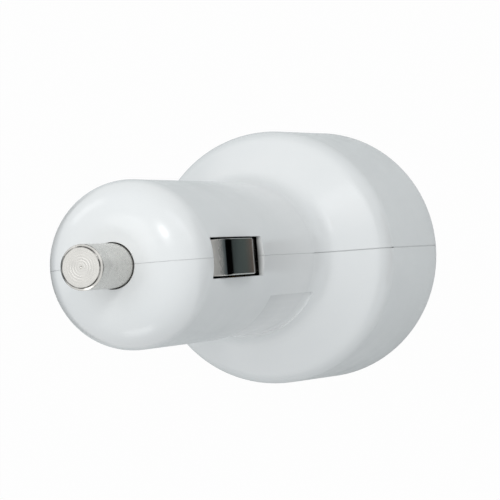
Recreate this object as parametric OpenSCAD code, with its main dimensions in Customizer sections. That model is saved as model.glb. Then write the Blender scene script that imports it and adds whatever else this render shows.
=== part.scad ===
// A plug that turns a car's lighter socket into a USB power port. The housing is moulded in two halves
// that meet on a plane through the axis. The plug stands on the flat rear face of its head, with its
// sprung tip pin at the top.
// Origin: centre of the rear face. +Z runs along the axis to the tip, and +X passes through one of the
// two side contacts. The halves part on the plane y = 0.

/* [Head] */
// Radius of the head at its rear rim
head_rear_r = 17.9; // [17.5:0.1:20]
// Radius of the head where its shoulder starts
head_front_r = 17.4; // [17:0.1:17.8]
// Length of the straight side of the head
head_side = 20.6; // [19:0.2:24]
// Radius of the rounded shoulder
shoulder_r = 6; // [4:0.5:7]
// Angle between the axis and the sloping front of the head
front_angle = 41; // [36:1:48]
// Radius of the hollow blend from the head into the barrel
root_r = 7.5; // [5:0.5:10]
// Width of the small chamfer round the rear rim
rim_chamfer = 0.4; // [0.2:0.1:0.8]

/* [Barrel] */
// Radius of the barrel where it leaves the head
barrel_root_r = 10.3; // [10.2:0.05:10.6]
// Radius of the barrel where the nose starts
barrel_nose_r = 10; // [9.9:0.05:10.15]
// Length of the housing from the rear face to the nose
body_len = 76.7; // [76:0.5:90]
// Radius of the rounded edge of the nose
nose_r = 6; // [5:0.5:6.5]

/* [Housing walls] */
// Thickness of the side walls
wall = 1.8; // [1.7:0.1:2]
// Thickness of the rear wall
rear_wall = 1.8; // [1.4:0.1:2.2]
// Thickness of the nose round the pin
nose_wall = 4; // [3:0.5:5]
// Thickness of the inner ribs
rib_t = 1.2; // [0.8:0.1:1.6]
// Width of the shadow line between the halves on the head
seam_w = 0.1; // [0.06:0.02:0.2]
// Width of the hairline that the joint leaves on the barrel and the nose
hairline_w = 0.03; // [0.02:0.01:0.06]
// Depth of the shadow line and the hairline
seam_depth = 0.3; // [0.1:0.1:0.4]
// Height of the lip that runs inside the joint
lip_h = 0.7; // [0.5:0.1:1]
// Thickness of that lip
lip_t = 0.5; // [0.4:0.05:0.6]
// Clearance round the lip and the locating pins
joint_clear = 0.05; // [0.02:0.01:0.08]
// Radius of the locating pins between the halves
post_pin_r = 0.9; // [0.7:0.1:1]
// Length of those pins
post_pin_h = 2; // [1.5:0.5:3]

/* [Recess] */
// Distance from the nose to the front edge of the recess
recess_from_nose = 28.7; // [26:0.5:34]
// Length of the recess along the barrel
recess_len = 16; // [12:0.5:17]
// Angle that the recess wraps round the lower half
recess_wrap = 120; // [90:5:130]
// Depth of the recess
recess_depth = 0.25; // [0.15:0.05:0.4]

/* [Tip pin and spring] */
// Radius of the tip pin
pin_r = 2.6; // [2.2:0.1:2.8]
// Length of pin that stands out of the nose
pin_out = 8.8; // [7:0.2:10]
// Radius of the rounded edge of the pin
pin_edge = 0.45; // [0.2:0.05:0.6]
// Radial clearance of the pin in the nose
pin_clear = 0.12; // [0.06:0.02:0.2]
// Radius of the flange that keeps the pin in
flange_r = 4.2; // [3.8:0.1:4.6]
// Thickness of that flange
flange_t = 1.2; // [0.8:0.1:1.6]
// Length of the stem inside the spring
stem_len = 5; // [3:0.5:6]
// Length of the spring at rest
spring_len = 13; // [11:0.5:14]
// Radius of the spring at the middle of its wire
spring_r = 2.2; // [2:0.1:2.4]
// Radius of the spring wire
spring_wire_r = 0.3; // [0.2:0.05:0.35]
// Number of turns of the spring
spring_turns = 8; // [6:1:9]

/* [Side contacts] */
// Distance from the nose to the front end of each window
window_from_nose = 6.4; // [6.2:0.1:8]
// Length of each window
window_len = 17.3; // [15:0.1:18]
// Width of each window
window_w = 4.8; // [4.6:0.1:5.4]
// Thickness of the wall over the feet of the leaf
sill_t = 0.75; // [0.6:0.05:0.9]
// Radius from the axis that the bowed leaf reaches
leaf_reach = 11; // [10.8:0.1:11.6]
// Radius of the nearly flat crown of the leaf
crown_r = 40; // [30:5:60]
// Angle between the axis and the two flanks of the leaf
flank_angle = 27; // [25:1:29]
// Radius of the bends between the crown and the flanks
bend_r = 5; // [3:0.5:6]
// Thickness of the leaf
leaf_t = 0.4; // [0.3:0.05:0.5]
// Clearance between the leaf and the sides of its window
leaf_clear = 0.15; // [0.1:0.05:0.3]
// Length of the flat foot at the rear of the leaf
leaf_foot = 2.4; // [2:0.1:3]
// How far the leaf can be pressed in
leaf_travel = 1; // [0.8:0.1:1.2]

/* [Power port] */
// Outer width of the port's steel shell
port_w = 13.2; // [13:0.1:13.4]
// Outer height of that shell
port_h = 5.7; // [5.5:0.1:5.8]
// Length of that shell
port_len = 14; // [13:0.5:15]
// Thickness of its steel
port_t = 0.3; // [0.2:0.05:0.35]
// Distance that the port lies behind the rear face
port_sunk = 0.2; // [0.1:0.1:0.5]
// Width of the tongue inside the port
tongue_w = 11.1; // [10.8:0.1:11.3]
// Thickness of that tongue
tongue_t = 1.84; // [1.7:0.02:1.9]
// Depth of the tongue's tip behind the mouth of the port
tongue_sunk = 1.2; // [0.8:0.1:2]

/* [Circuit board] */
// Thickness of the circuit board
board_t = 1.2; // [1:0.1:1.6]
// Half width of the board in the barrel
board_neck_w = 6.5; // [6.4:0.05:6.6]
// Half width of the board in the head
board_head_w = 11; // [10.8:0.1:11.4]
// Diameter of the input capacitor
input_can_d = 7.6; // [6.3:0.1:7.8]
// Length of the input capacitor
input_can_len = 11; // [9:0.5:11.5]
// Diameter of the output capacitor
output_can_d = 6.3; // [5:0.1:6.5]
// Height of the output capacitor
output_can_h = 7.2; // [5:0.2:8]
// Diameter of the coil's ferrite core
core_d = 9; // [7.5:0.1:9.2]
// Height of the coil's ferrite core
core_h = 7.5; // [6:0.1:8]

/* [Hidden] */
$fn = 96;
// Small overshoot of every cutting tool, and a size larger than the part
eps = 0.2;
big = 120;

// Outline of the housing. Each straight stretch is the line of points p with p * normal(a) = k, where a
// is the angle between the stretch and the axis. Arcs touch the two lines beside them.
side_taper = atan((head_rear_r - head_front_r) / head_side);
side_k = head_rear_r * cos(side_taper);
shoulder_c = crossing(side_taper, side_k - shoulder_r, 90, head_side);
front_k = shoulder_c * normal(front_angle) + shoulder_r;
nose_start = body_len - nose_r;
barrel_taper = atan((barrel_root_r - barrel_nose_r) / (nose_start - head_side));
barrel_k = [barrel_nose_r, nose_start] * normal(barrel_taper);
root_c = crossing(barrel_taper, barrel_k + root_r, front_angle, front_k + root_r);
nose_c = crossing(barrel_taper, barrel_k - nose_r, 90, nose_start);

function normal(a) = [cos(a), sin(a)];
function crossing(a, ka, b, kb) =
  [ka * sin(b) - kb * sin(a), kb * cos(a) - ka * cos(b)] / sin(b - a);
function barrel_in(z) = (barrel_k - wall - z * sin(barrel_taper)) / cos(barrel_taper);
function head_in(z) = (side_k - wall - z * sin(side_taper)) / cos(side_taper);

// Positions along the axis, from the nose back
nose_in = body_len - nose_wall;
pin_top = body_len + pin_out;
flange_gap = 0.05;
flange_z = nose_in - flange_gap - flange_t;
spring_z = flange_z - spring_len;
terminal_t = 0.6;
terminal_z = spring_z - terminal_t;
window_z1 = body_len - window_from_nose;
window_z0 = window_z1 - window_len;
window_mid = (window_z0 + window_z1) / 2;
leaf_z0 = window_z0 - leaf_foot;
ground_t = 0.5;
ground_gap = 0.05;
ground_z = leaf_z0 - ground_gap - ground_t;
recess_z1 = body_len - recess_from_nose;
recess_z0 = recess_z1 - recess_len;

// Leaf: its feet lie under the ends of the window. Between them a flank rises to each side of the crown,
// and a bend touches both. Heights of the bow are measured from its middle
leaf_w = window_w - 2 * leaf_clear;
foot_seat_gap = 0.2;
foot_out = barrel_nose_r - sill_t - foot_seat_gap;
foot_in = foot_out - leaf_t;
foot_end = window_z1 + 1;
leaf_mid = window_mid + 0.6;
flank_half = window_len / 2 - 0.7;
flank_k = [foot_out, flank_half] * normal(flank_angle);
crown_x = leaf_reach - crown_r;
crown_end = flank_angle - acos((flank_k - bend_r - crown_x * cos(flank_angle)) / (crown_r - bend_r));
bend_c = [crown_x, 0] + (crown_r - bend_r) * normal(crown_end);
leg_reach = 3.6;

// Board: its upper face carries the port, so the port is centred on the axis
board_top = -port_h / 2;
board_low = board_top - board_t;
board_z0 = rear_wall + 0.4;
board_z1 = terminal_z;
board_shoulder_z = head_side;
board_neck_z = head_side + 6.5;

// Ribs, locating posts and the stop behind the spring's terminal
ground_foot = 3;
lower_rib_z = [board_z0 + 9, board_neck_z, ground_z - 2, terminal_z - rib_t];
press_rib_z = [board_z0 + 9.6, ground_z - ground_foot - rib_t - 0.4];
press_w = 1.3;
post_r = post_pin_r + 1.1;
head_post = [head_in(board_z0 + 6) - post_r + 0.7, board_z0 + 6];
neck_post_z = ground_z - 8.5;
neck_post = [barrel_in(neck_post_z) - post_r + 0.7, neck_post_z];
post_clear = 0.1;

// Port
port_hole_clear = 0.1;
port_z1 = port_sunk + port_len;
block_len = 4.5;
tongue_top = port_h / 2 - port_t - 0.65;
tongue_low = tongue_top - tongue_t;
blade_w = 1;
blade_t = 0.25;
tail_w = 0.6;
fit_gap = 0.02;
pin_x = [-3.5, -1, 1, 3.5];
tail_z = port_z1 + 0.25;
tail_end = board_low - 0.8;
hole_r = 0.5;
tab_z = port_sunk + 9;
tab_len = 2;

// Parts on the board, each as [x, z]
coil_at = [2.8, board_shoulder_z + 3];
output_can_at = [coil_at[0] - core_d / 2 - output_can_d / 2 - 1.6, board_shoulder_z + 0.8];
diode_at = [board_head_w - 2.2, board_shoulder_z - 1.6];
terminal_foot = 3.6;
input_can_z1 = terminal_z - terminal_foot - 0.4;
lead_r = 0.3;

// Parts under the board: the chip and its small parts behind the second rib, the fuse before the last
chip_at = [0, lower_rib_z[1] + rib_t + 3];
sense_at = chip_at + [-4.4, 0];
feedback_1_at = chip_at + [4.6, 0.3];
feedback_2_at = chip_at + [4.6, 2];
timing_at = chip_at + [-4.4, 2.7];
fuse_at = [0, (lower_rib_z[2] + rib_t + lower_rib_z[3]) / 2];

module outline(inset) {
  intersection() {
    square([big, big]);
    difference() {
      union() {
        polygon([
          [0, 0],
          [(side_k - inset) / cos(side_taper), 0],
          shoulder_c + (shoulder_r - inset) * normal(side_taper),
          shoulder_c + (shoulder_r - inset) * normal(front_angle),
          root_c - (root_r + inset) * normal(front_angle),
          root_c - (root_r + inset) * normal(barrel_taper),
          nose_c + (nose_r - inset) * normal(barrel_taper),
          nose_c + (nose_r - inset) * normal(90),
          [0, body_len - inset]
        ]);
        translate(shoulder_c) circle(shoulder_r - inset);
        translate(nose_c) circle(nose_r - inset);
      }
      translate(root_c) circle(root_r + inset);
    }
  }
}

module half_space(side) {
  translate([-big / 2, side > 0 ? 0 : -big, -big / 2]) cube([big, big, 2 * big]);
}

// The hollow inside follows the outside at the wall's thickness, and narrows in a plain cone at the nose
module cavity_outline() {
  cone_z = nose_start - 1;
  function cone_in(z) = barrel_in(cone_z) - (z - cone_z) * tan(20);
  intersection() {
    outline(wall);
    polygon([[0, rear_wall], [cone_in(rear_wall), rear_wall], [cone_in(nose_in), nose_in], [0, nose_in]]);
  }
}

// Hollow skin with its rear and nose walls
module skin() {
  rotate_extrude() difference() {
    outline(0);
    cavity_outline();
    polygon([
      [head_rear_r - rim_chamfer, 0],
      [head_rear_r + 1, -1],
      [head_rear_r + 1, rim_chamfer],
      [head_rear_r - rim_chamfer * tan(side_taper), rim_chamfer]
    ]);
  }
}

// A thin band that follows the joint, between two depths in the wall, and stops at the leaf pockets
module joint_band(depth, thick, height) {
  intersection() {
    rotate_extrude() difference() {
      outline(depth);
      outline(depth + thick);
      translate([0, -eps]) square([big, 1 + eps]);
      translate([foot_out - 2, leaf_z0 - 1]) square([big, foot_end + 2.5 - leaf_z0]);
    }
    translate([-big / 2, -height, 0]) cube([big, 2 * height, big]);
  }
}

// Everything that is cut from both halves: port, pin bore, windows, leaf pockets and shadow line
module common_cuts() {
  port_half_w = port_w / 2 + port_hole_clear;
  port_half_h = port_h / 2 + port_hole_clear;
  translate([-port_half_w, -port_half_h, -eps])
    cube([2 * port_half_w, 2 * port_half_h, rear_wall + 2 * eps]);
  translate([0, 0, nose_in - eps]) cylinder(r = pin_r + pin_clear, h = nose_wall + 2 * eps);
  for (side = [-1, 1]) {
    translate([side * barrel_nose_r, 0, window_mid])
      cube([5, window_w, window_len], center = true);
    translate([side * (foot_out + foot_seat_gap - 2) - 2, -window_w / 2, leaf_z0 - eps])
      cube([4, window_w, foot_end - leaf_z0 + 2 * eps]);
  }
  difference() {
    union() {
      translate([-big / 2, -hairline_w / 2, -eps]) cube([big, hairline_w, big]);
      translate([-big / 2, -seam_w / 2, -eps]) cube([big, seam_w, root_c[1] + eps]);
    }
    rotate_extrude() intersection() {
      outline(seam_depth);
      translate([0, seam_depth]) square([big, big]);
    }
  }
}

// Ribs under the board, and the web that takes the push of the spring
module lower_ribs() {
  for (z = lower_rib_z)
    translate([-big / 2, board_low - big, z]) cube([big, big, rib_t]);
}

// Ribs that press the board down at its edges, and the stop behind the spring's terminal
module upper_ribs() {
  for (side = [-1, 1]) {
    translate([side * (board_head_w - press_w) - press_w / 2, board_top, press_rib_z[0]])
      cube([press_w, big, rib_t]);
    translate([side * (board_neck_w - press_w / 2 - 0.3) - press_w / 2, board_top, press_rib_z[1]])
      cube([press_w, big, rib_t]);
  }
  translate([-board_neck_w + 1, board_top + 1.4, terminal_z - rib_t])
    cube([2 * board_neck_w - 2, big, rib_t]);
}

module at_posts() {
  for (side = [-1, 1])
    for (p = [head_post, neck_post])
      translate([side * p[0], 0, p[1]]) children();
}

// A cylinder that runs from y = 0 into the lower half, or into the upper half with side = 1
module post_rod(r, h, side) {
  rotate([side > 0 ? -90 : 90, 0, 0]) cylinder(r = r, h = h);
}

module shell_half(side) {
  difference() {
    union() {
      intersection() {
        skin();
        half_space(side);
      }
      intersection() {
        union() {
          if (side > 0)
            upper_ribs();
          else
            lower_ribs();
          at_posts() post_rod(post_r, big, side);
        }
        rotate_extrude() intersection() {
          outline(wall / 2);
          translate([0, rear_wall / 2]) square([big, nose_in - rear_wall / 2]);
        }
      }
    }
    common_cuts();
  }
}

module upper_shell() {
  color("white") union() {
    shell_half(1);
    difference() {
      intersection() {
        joint_band(wall * 0.35, lip_t, lip_h);
        half_space(-1);
      }
      common_cuts();
    }
    at_posts() post_rod(post_pin_r, post_pin_h, -1);
  }
}

module lower_shell() {
  color("white") difference() {
    shell_half(-1);
    joint_band(wall * 0.35 - joint_clear, lip_t + 2 * joint_clear, lip_h + joint_clear);
    at_posts() post_rod(post_pin_r + joint_clear, post_pin_h + 0.3, -1);
    rotate_extrude(start = -90 - recess_wrap / 2, angle = recess_wrap) difference() {
      translate([barrel_nose_r - 2, recess_z0]) square([6, recess_len]);
      outline(recess_depth);
    }
  }
}

// Turned pin: stem in the spring, flange behind the nose, and a shaft with a rounded edge
module tip_contact() {
  color("silver") rotate_extrude() difference() {
    union() {
      translate([0, flange_z - stem_len]) square([spring_r - spring_wire_r - 0.3, stem_len + flange_t]);
      translate([0, flange_z]) square([flange_r, flange_t]);
      translate([0, flange_z]) square([pin_r, pin_top - pin_edge - flange_z]);
      translate([0, flange_z]) square([pin_r - pin_edge, pin_top - flange_z]);
      translate([pin_r - pin_edge, pin_top - pin_edge]) circle(pin_edge);
    }
    polygon([[0, pin_top - 0.25], [0.35, pin_top + 0.1], [0, pin_top + 0.1]]);
  }
}

// Height of the spring's wire after t turns: closed at both ends and evenly pitched between
function coil_height(t) =
  t < 1 ? 2 * spring_wire_r * t
  : t > spring_turns - 1 ? spring_len - 2 * spring_wire_r - 2 * spring_wire_r * (spring_turns - t)
  : 2 * spring_wire_r
    + (t - 1) / (spring_turns - 2) * (spring_len - 6 * spring_wire_r);

module tip_spring() {
  steps = 18;
  sides = 8;
  rings = spring_turns * steps;
  base = spring_z + spring_wire_r;
  points = [for (i = [0:rings]) for (s = [0:sides - 1])
    let (turn = 360 * i / steps, a = 360 * s / sides, r = spring_r + spring_wire_r * cos(a))
      [r * cos(turn), r * sin(turn), base + coil_height(i / steps) + spring_wire_r * sin(a)]];
  sleeves = [for (i = [0:rings - 1]) for (s = [0:sides - 1])
    [i * sides + s, (i + 1) * sides + s, (i + 1) * sides + (s + 1) % sides, i * sides + (s + 1) % sides]];
  first = [for (s = [0:sides - 1]) s];
  last = [for (s = [sides - 1:-1:0]) rings * sides + s];
  color("gainsboro") polyhedron(points = points, faces = concat(sleeves, [first, last]));
}

// Bent brass plate: the spring presses on its upright, and its foot is soldered to the board
module spring_terminal() {
  half_w = spring_r + spring_wire_r + 0.3;
  color("gold") union() {
    translate([-half_w, board_top, terminal_z]) cube([2 * half_w, half_w - board_top, terminal_t]);
    translate([-half_w, board_top, terminal_z - terminal_foot])
      cube([2 * half_w, terminal_t, terminal_foot + terminal_t]);
  }
}

// Solid under the bow of the leaf, with its middle at height 0
module bow_outline(inset) {
  base_x = foot_in - 1;
  base_z = (flank_k - inset - base_x * cos(flank_angle)) / sin(flank_angle);
  flank_top = bend_c + (bend_r - inset) * normal(flank_angle);
  crown_edge = bend_c + (bend_r - inset) * normal(crown_end);
  polygon([
    [base_x, -base_z],
    [flank_top[0], -flank_top[1]],
    [crown_edge[0], -crown_edge[1]],
    crown_edge,
    flank_top,
    [base_x, base_z]
  ]);
  for (side = [-1, 1])
    translate([bend_c[0], side * bend_c[1]]) circle(bend_r - inset, $fn = 120);
  intersection() {
    translate([crown_x, 0]) circle(crown_r - inset, $fn = 360);
    translate([base_x, -crown_edge[1]]) square([big, 2 * crown_edge[1]]);
  }
}

// Outline of the leaf in the plane of the joint: two feet, the bow and the leg that wipes its terminal
module leaf_outline() {
  translate([0, leaf_mid]) intersection() {
    difference() {
      bow_outline(0);
      bow_outline(leaf_t);
    }
    translate([foot_in, -big / 2]) square([big, big]);
  }
  rear_len = leaf_mid - flank_half - leaf_z0 + 0.05;
  front_len = foot_end - leaf_mid - flank_half + 0.05;
  translate([foot_in, leaf_z0]) square([leaf_t, rear_len]);
  translate([foot_in, foot_end - front_len]) square([leaf_t, front_len]);
  translate([foot_out - leg_reach, leaf_z0]) square([leg_reach, leaf_t]);
}

module side_contact_right() {
  color("lightgray") translate([0, leaf_w / 2, 0]) rotate([90, 0, 0]) linear_extrude(leaf_w) leaf_outline();
}

module side_contact_left() {
  color("lightgray") mirror([1, 0, 0])
    translate([0, leaf_w / 2, 0]) rotate([90, 0, 0]) linear_extrude(leaf_w) leaf_outline();
}

// Bent plate on the board's edge: the leaf's leg wipes along its upright as the leaf is pressed
module ground_terminal() {
  x0 = foot_out - leg_reach - leaf_travel;
  x1 = board_neck_w;
  color("gold") union() {
    translate([x0, board_top, ground_z]) cube([x1 - x0, leaf_w / 2 - board_top, ground_t]);
    translate([x0, board_top, ground_z - ground_foot]) cube([x1 - x0, ground_t, ground_foot + ground_t]);
  }
}

module ground_terminal_right() {
  ground_terminal();
}

module ground_terminal_left() {
  mirror([1, 0, 0]) ground_terminal();
}

module board_outline() {
  difference() {
    polygon([
      [-board_head_w, board_z0], [board_head_w, board_z0],
      [board_head_w, board_shoulder_z], [board_neck_w, board_neck_z],
      [board_neck_w, board_z1], [-board_neck_w, board_z1],
      [-board_neck_w, board_neck_z], [-board_head_w, board_shoulder_z]
    ]);
    for (side = [-1, 1]) {
      translate([side * head_post[0], head_post[1]]) circle(post_r + post_clear);
      translate([side * neck_post[0], neck_post[1]]) circle(post_r + post_clear);
      translate([side * (port_w / 2 - port_t / 2), tab_z + tab_len / 2])
        square([port_t + 0.2, tab_len + 0.2], center = true);
    }
    for (x = pin_x)
      translate([x, tail_z + blade_t / 2]) circle(hole_r);
  }
}

module circuit_board() {
  color("green") translate([0, board_top, 0]) rotate([90, 0, 0]) linear_extrude(board_t) board_outline();
}

// Folded steel shell of the port, open at the mouth, with four spring fingers and two solder tabs
module usb_shell() {
  color("silver") union() {
    difference() {
      translate([-port_w / 2, -port_h / 2, port_sunk]) cube([port_w, port_h, port_len]);
      translate([-port_w / 2 + port_t, -port_h / 2 + port_t, port_sunk - eps])
        cube([port_w - 2 * port_t, port_h - 2 * port_t, port_len + 2 * eps]);
      for (side = [-1, 1])
        for (x = [-3, 3])
          translate([x, side * port_h / 2, port_sunk + 3.5]) finger_slot();
    }
    for (side = [-1, 1])
      translate([side * (port_w / 2 - port_t / 2), board_top + port_t / 2, tab_z + tab_len / 2])
        translate([-port_t / 2, tail_end - board_top, -tab_len / 2])
          cube([port_t, board_top - tail_end, tab_len]);
  }
}

// U-shaped slot that frees one spring finger
module finger_slot() {
  for (x = [-1, 1])
    translate([x, 0, 2.2]) cube([0.3, 1.2, 4.4], center = true);
  cube([2.3, 1.2, 0.3], center = true);
}

// Moulded block with the tongue that carries the four blades
module usb_tongue() {
  gap = 0.05;
  block_w = port_w - 2 * port_t - 2 * gap;
  block_h = port_h - 2 * port_t - 2 * gap;
  color("white") difference() {
    union() {
      translate([-block_w / 2, -block_h / 2, port_z1 - block_len]) cube([block_w, block_h, block_len]);
      translate([-tongue_w / 2, tongue_low, port_sunk + tongue_sunk])
        cube([tongue_w, tongue_t, port_len - tongue_sunk - block_len + eps]);
    }
    for (x = pin_x)
      translate([x - blade_w / 2 - fit_gap, tongue_low - 1, port_sunk + tongue_sunk + 0.5])
        cube([blade_w + 2 * fit_gap, 1 + 0.15 + fit_gap, port_len]);
    for (x = pin_x)
      translate([x - blade_w / 2 - fit_gap, tongue_low - 1, port_z1 - block_len])
        cube([blade_w + 2 * fit_gap, 1 + 0.15 + fit_gap, block_len + eps]);
  }
}

// One blade under the tongue, with its tail bent down through the board
module usb_pin(i) {
  x = pin_x[i - 1];
  top = tongue_low + 0.15;
  z0 = port_sunk + tongue_sunk + 0.6;
  color("gold") union() {
    translate([x - blade_w / 2, top - blade_t, z0]) cube([blade_w, blade_t, port_z1 - z0]);
    translate([x - tail_w / 2, top - blade_t, port_z1 - eps])
      cube([tail_w, blade_t, tail_z + blade_t - port_z1 + eps]);
    translate([x - tail_w / 2, tail_end, tail_z]) cube([tail_w, top - tail_end, blade_t]);
  }
}

// Places a part on the lower face of the board, where its own y runs away from the board
module under_board(at) {
  translate([at[0], board_low, at[1]]) mirror([0, 1, 0]) children();
}

module controller_chip() {
  color("black") under_board(chip_at) difference() {
    translate([-2, 0.15, -2.5]) cube([4, 1.5, 5]);
    translate([-1.3, 1.55, -1.8]) rotate([-90, 0, 0]) cylinder(r = 0.35, h = 1);
  }
}

// Eight gull-wing leads, four on each side of the chip
module chip_leads() {
  lead_t = 0.2;
  lead_w = 0.4;
  lead_pitch = 1.27;
  color("silver") under_board(chip_at)
    for (side = [0, 1])
      for (i = [0:3])
        mirror([side, 0, 0]) translate([0, 0, (i - 1.5) * lead_pitch - lead_w / 2])
          linear_extrude(lead_w) polygon([
            [2, 0.8], [2, 0.8 + lead_t], [2.55, 0.8 + lead_t], [2.75, lead_t],
            [3.2, lead_t], [3.2, 0], [2.6, 0], [2.4, 0.8]
          ]);
}

// Drum core and its copper winding, standing on the board
module on_board(at) {
  translate([at[0], board_top, at[1]]) rotate([-90, 0, 0]) children();
}

module coil_core() {
  flange = 1.2;
  color("dimgray") on_board(coil_at) union() {
    cylinder(d = core_d, h = flange);
    cylinder(d = core_d * 0.45, h = core_h);
    translate([0, 0, core_h - flange]) cylinder(d = core_d, h = flange);
  }
}

module coil_winding() {
  flange = 1.2;
  wires = 7;
  rows_h = core_h - 2 * flange - 0.1;
  wire_r = rows_h / wires / 2;
  inner = core_d * 0.225 + 0.05;
  outer = core_d / 2 - 0.5;
  color("peru") on_board(coil_at) translate([0, 0, flange + 0.05]) rotate_extrude() union() {
    translate([inner, 0]) square([outer - wire_r - inner, rows_h]);
    for (i = [0:wires - 1])
      translate([outer - wire_r, wire_r * (2 * i + 1)]) circle(wire_r);
  }
}

// A can with a crimped waist near its base and a pressed vent cross on its end
module capacitor_can(d, h) {
  difference() {
    rotate_extrude() difference() {
      square([d / 2, h]);
      translate([d / 2 + 0.45, 1.4]) circle(0.75);
    }
    for (a = [0, 90])
      rotate([0, 0, a]) translate([0, 0, h]) cube([d * 0.6, 0.3, 0.3], center = true);
  }
}

module input_capacitor() {
  axis_y = board_top + input_can_d / 2;
  color("midnightblue") union() {
    translate([0, axis_y, input_can_z1 - input_can_len]) capacitor_can(input_can_d, input_can_len);
    for (x = [-1.7, 1.7]) {
      translate([x, axis_y, input_can_z1 - input_can_len - 1]) cylinder(r = lead_r, h = 1.2);
      translate([x, board_top, input_can_z1 - input_can_len - 1]) rotate([-90, 0, 0])
        cylinder(r = lead_r, h = input_can_d / 2 + lead_r);
    }
  }
}

module output_capacitor() {
  color("midnightblue") on_board(output_can_at) capacitor_can(output_can_d, output_can_h);
}

// Axial diode along the board's edge, with its leads bent down at both ends
module flyback_diode() {
  body_r = 1.35;
  body_l = 5.2;
  half = body_l / 2 + 1.2;
  y = board_top + body_r + 0.1;
  color("black") union() {
    translate([diode_at[0], y, diode_at[1] - body_l / 2]) cylinder(r = body_r, h = body_l);
    translate([diode_at[0], y, diode_at[1] - half]) cylinder(r = lead_r, h = 2 * half);
    for (side = [-1, 1])
      translate([diode_at[0], board_top, diode_at[1] + side * half]) rotate([-90, 0, 0])
        cylinder(r = lead_r, h = body_r + 0.1 + lead_r);
  }
}

// Surface part: a body between two plated ends, lying across the board
module surface_part(at, l, w, h) {
  end = l * 0.18;
  under_board(at) translate([-l / 2, 0, -w / 2]) union() {
    translate([end, 0.05, 0.05]) cube([l - 2 * end, h - 0.1, w - 0.1]);
    cube([end, h, w]);
    translate([l - end, 0, 0]) cube([end, h, w]);
  }
}

module input_fuse() {
  color("ivory") surface_part(fuse_at, 6.1, 2.5, 2.4);
}

module sense_resistor() {
  color("dimgray") surface_part(sense_at, 1.6, 3.2, 0.6);
}

module feedback_resistor_1() {
  color("dimgray") surface_part(feedback_1_at, 2, 1.25, 0.5);
}

module feedback_resistor_2() {
  color("dimgray") surface_part(feedback_2_at, 2, 1.25, 0.5);
}

module timing_capacitor() {
  color("tan") surface_part(timing_at, 2, 1.25, 0.9);
}

upper_shell();
lower_shell();
tip_contact();
tip_spring();
spring_terminal();
side_contact_right();
side_contact_left();
ground_terminal_right();
ground_terminal_left();
circuit_board();
usb_shell();
usb_tongue();
usb_pin(1);  // usb_pin_1
usb_pin(2);  // usb_pin_2
usb_pin(3);  // usb_pin_3
usb_pin(4);  // usb_pin_4
controller_chip();
chip_leads();
coil_core();
coil_winding();
input_capacitor();
output_capacitor();
flyback_diode();
input_fuse();
sense_resistor();
feedback_resistor_1();
feedback_resistor_2();
timing_capacitor();
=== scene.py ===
# %% [markdown]
# # A car socket USB charger, dressed for the camera
#
# This notebook takes a construction model of a plug that turns a car's lighter socket into a USB power
# port, and gives every piece the finish of the real one. The construction model is a fixed frame: its
# pieces are never moved or resized. Pieces whose shape is right keep it and get a better material. Pieces
# that need finer shape, such as the turned pin, are made again here and take the old one's place.
#
# The plug stands on the flat rear face of its head, with the tip pin at the top. +X runs through the side
# contact that faces the camera, and the two halves of the housing meet on the plane y = 0.

# %% Load the frame
import math

import bmesh
import bpy
from mathutils import Matrix, Vector


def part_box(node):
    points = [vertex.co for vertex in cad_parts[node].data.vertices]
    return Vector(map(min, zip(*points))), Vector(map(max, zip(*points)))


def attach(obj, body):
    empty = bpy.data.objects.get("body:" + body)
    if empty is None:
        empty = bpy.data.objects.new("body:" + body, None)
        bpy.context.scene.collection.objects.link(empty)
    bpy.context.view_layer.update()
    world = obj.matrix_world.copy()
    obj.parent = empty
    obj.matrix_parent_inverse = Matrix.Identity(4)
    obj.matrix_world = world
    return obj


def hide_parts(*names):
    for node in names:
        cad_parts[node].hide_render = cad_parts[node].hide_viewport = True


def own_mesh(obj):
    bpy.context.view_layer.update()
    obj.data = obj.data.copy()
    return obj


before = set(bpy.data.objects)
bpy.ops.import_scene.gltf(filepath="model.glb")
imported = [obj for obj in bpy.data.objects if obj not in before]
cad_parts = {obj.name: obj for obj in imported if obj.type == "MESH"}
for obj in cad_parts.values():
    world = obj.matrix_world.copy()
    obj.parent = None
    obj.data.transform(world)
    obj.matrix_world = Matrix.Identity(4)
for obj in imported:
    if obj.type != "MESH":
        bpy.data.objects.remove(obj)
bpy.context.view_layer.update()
MM = 0.001

# %% [markdown]
# ## The camera
#
# The photograph looks down the plug's axis from the tip, a little from one side, so the nose comes towards
# us and the head opens out behind it. The place and the three directions below were found by matching the
# outline of the housing. A long lens from about 30 cm keeps the two ends at nearly the same scale. A
# camera's matrix is its right, up and backward directions as columns, with its place as the fourth.

# %% Camera
CAMERA_PLACE = Vector((99.64, -3.08, 307.89)) * MM
CAMERA_RIGHT = Vector((0.93791961, -0.08083563, -0.33730164))
CAMERA_UP = Vector((0.0809395, 0.99662376, -0.01377983))
CAMERA_BACK = Vector((0.33727673, -0.01437665, 0.94129576))
SENSOR = 36
FOCAL_IN_PIXELS = 2200
IMAGE_WIDTH = 500

scene = bpy.context.scene
camera = bpy.data.objects.new("camera", bpy.data.cameras.new("camera"))
scene.collection.objects.link(camera)
camera.data.sensor_width = SENSOR
camera.data.lens = FOCAL_IN_PIXELS / IMAGE_WIDTH * SENSOR
camera.data.clip_start = 0.01
camera.matrix_world = Matrix.Translation(CAMERA_PLACE) @ Matrix(
    (CAMERA_RIGHT, CAMERA_UP, CAMERA_BACK)
).transposed().to_4x4()
scene.camera = camera
print(f"camera with a {camera.data.lens:.0f} mm lens, {CAMERA_PLACE.length / MM:.0f} mm from the origin")

# %% [markdown]
# ## Colour and nodes
#
# Colours are written as they look on a screen, in hex. Blender calculates with light, so each is turned
# into linear values first. A material is a small graph of nodes, and one helper adds any node: it sets the
# node's own options, and gives each input either a plain value or a link to another node's output.

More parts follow.
